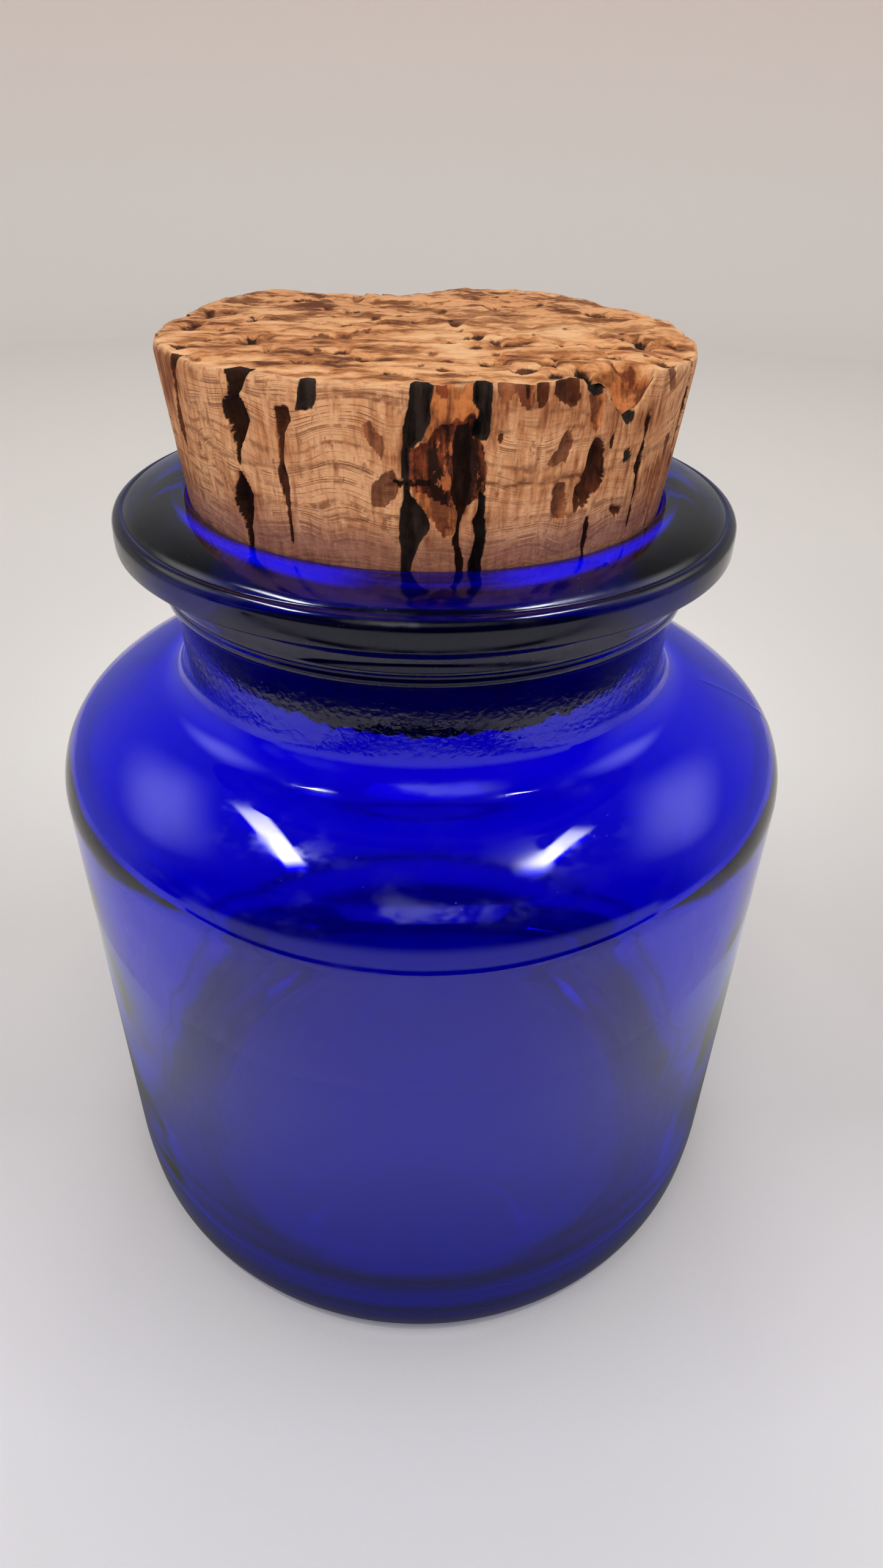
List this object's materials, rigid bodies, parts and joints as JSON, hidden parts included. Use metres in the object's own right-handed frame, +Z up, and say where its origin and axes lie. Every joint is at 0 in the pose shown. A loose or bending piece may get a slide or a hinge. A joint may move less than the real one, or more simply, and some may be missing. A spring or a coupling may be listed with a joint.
{
  "type": "corked glass jar",
  "caption": "Wide-mouthed cobalt-blue glass jar with a flanged rim, round shoulder and thick base, closed by a tapered natural cork stopper that pulls out.",
  "frame": {"origin": "centre of the flat ring that the jar stands on", "axes": "+Z up along the jar's axis, through the middle of the mouth and the cork; -Y is the front, towards the split pore and the crumbled corner of the cork; +X is to the right seen from the front"},
  "size_m": [0.1, 0.1, 0.1395],
  "materials": {
    "cobalt_glass": "gloss",
    "natural_cork": "matte"
  },
  "bodies": {
    "jar": {"glass_jar": "cobalt_glass"},
    "stopper": {"cork_stopper": "natural_cork"}
  },
  "joints": [
    {"name": "stopper_lift", "type": "slide", "parent": "jar", "child": "stopper", "axis": [0, 0, 1], "range_m": [0, 0.06]}
  ]
}
